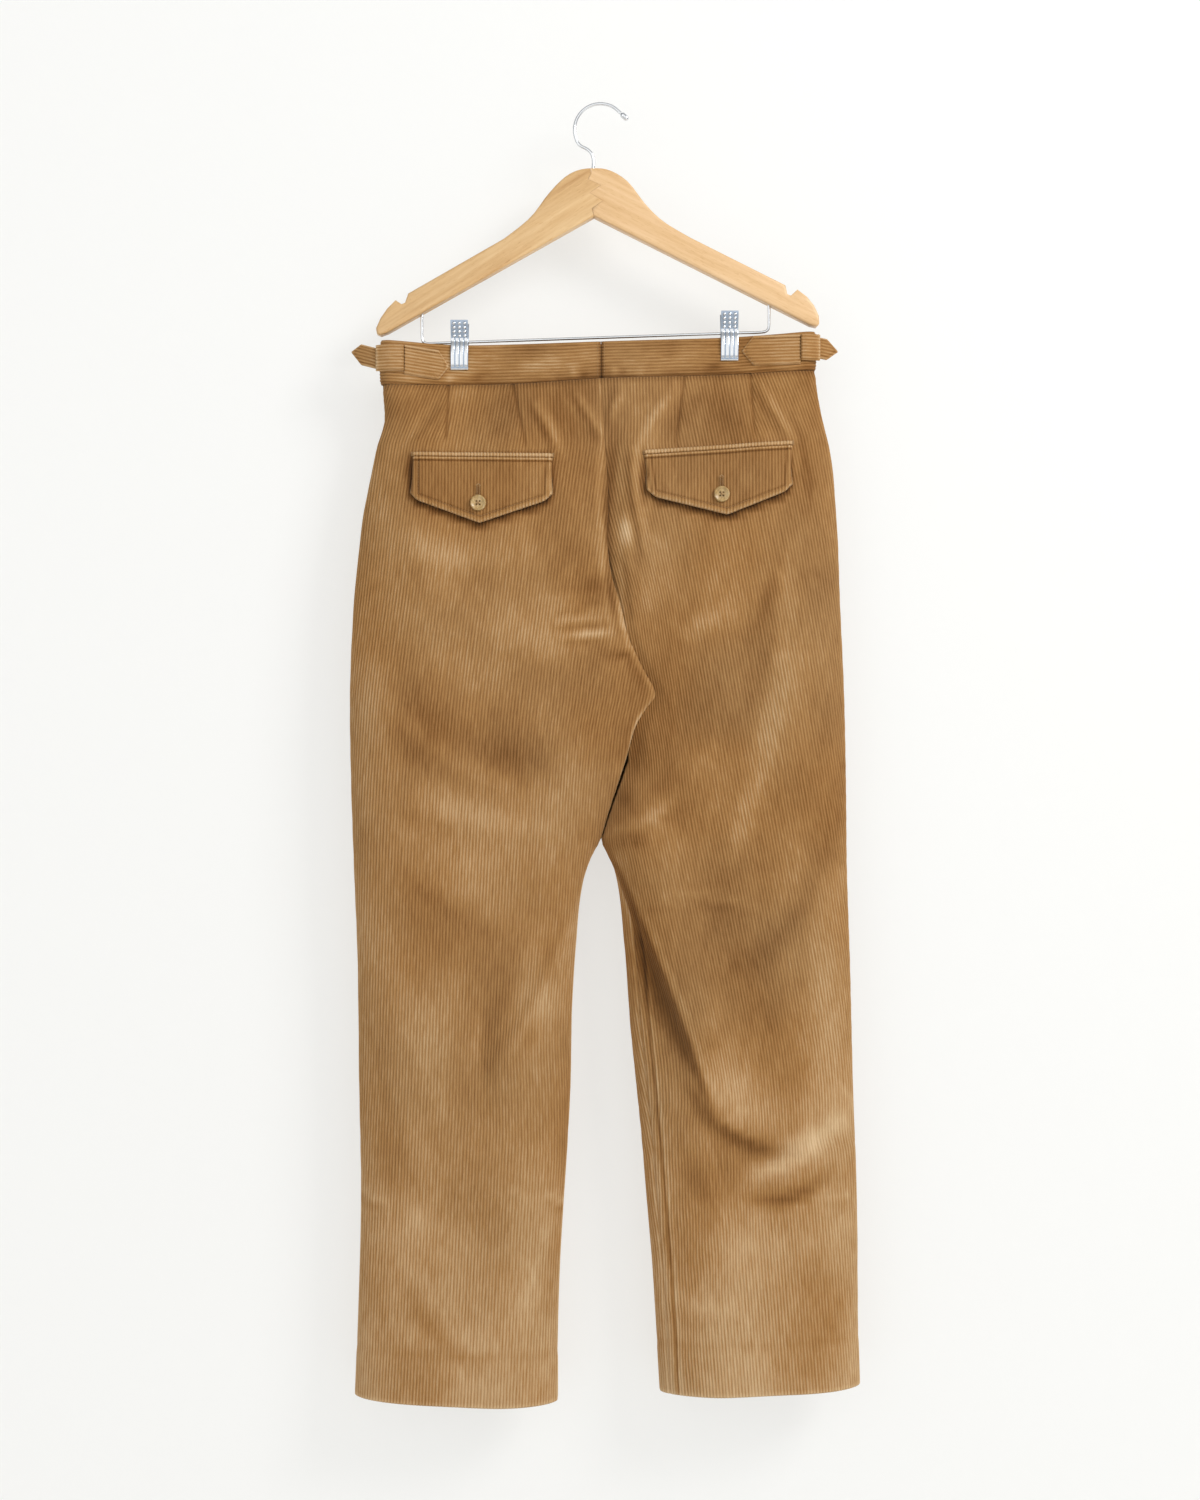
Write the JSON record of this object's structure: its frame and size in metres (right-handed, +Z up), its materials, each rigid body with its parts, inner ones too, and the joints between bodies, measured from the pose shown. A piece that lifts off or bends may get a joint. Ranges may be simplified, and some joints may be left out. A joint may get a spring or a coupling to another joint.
{
  "type": "corduroy trousers on a wooden clip hanger",
  "caption": "Straight corduroy trousers with side adjusters and buttoned flap pockets behind, held by the waistband in the clips of a wooden hanger.",
  "frame": {"origin": "inside top of the hook, where it bears on what holds it up", "axes": "+Z up, -Y out of the back of the trousers, +X towards the wearer's right leg"},
  "size_m": [0.5097, 0.0701, 1.2972],
  "materials": {
    "corduroy": "eight to ten wale cotton corduroy, tan, soft brushed pile",
    "horn_button": "satin, horn-like, mottled",
    "beech": "clear satin lacquer over fine straight grain",
    "chrome": "bright plated steel"
  },
  "bodies": {
    "root": {"back_left": "corduroy", "back_right": "corduroy", "front_left": "corduroy", "front_right": "corduroy", "waistband_left": "corduroy", "waistband_right": "corduroy", "adjuster_strip_left": "corduroy", "adjuster_strip_right": "corduroy", "adjuster_loop_left": "corduroy", "adjuster_loop_right": "corduroy", "adjuster_tail_left": "corduroy", "adjuster_tail_right": "corduroy", "welt_left": "corduroy", "welt_right": "corduroy", "flap_left": "corduroy", "flap_right": "corduroy", "button_left": "horn_button", "button_right": "horn_button", "hanger_arm_left": "beech", "hanger_arm_right": "beech", "hook": "chrome", "hook_tip": "chrome", "clip_bar": "chrome", "clip_back_left": "chrome", "clip_back_right": "chrome", "clip_front_left": "chrome", "clip_front_right": "chrome", "clip_spring_left": "chrome", "clip_spring_right": "chrome"}
  },
  "joints": []
}
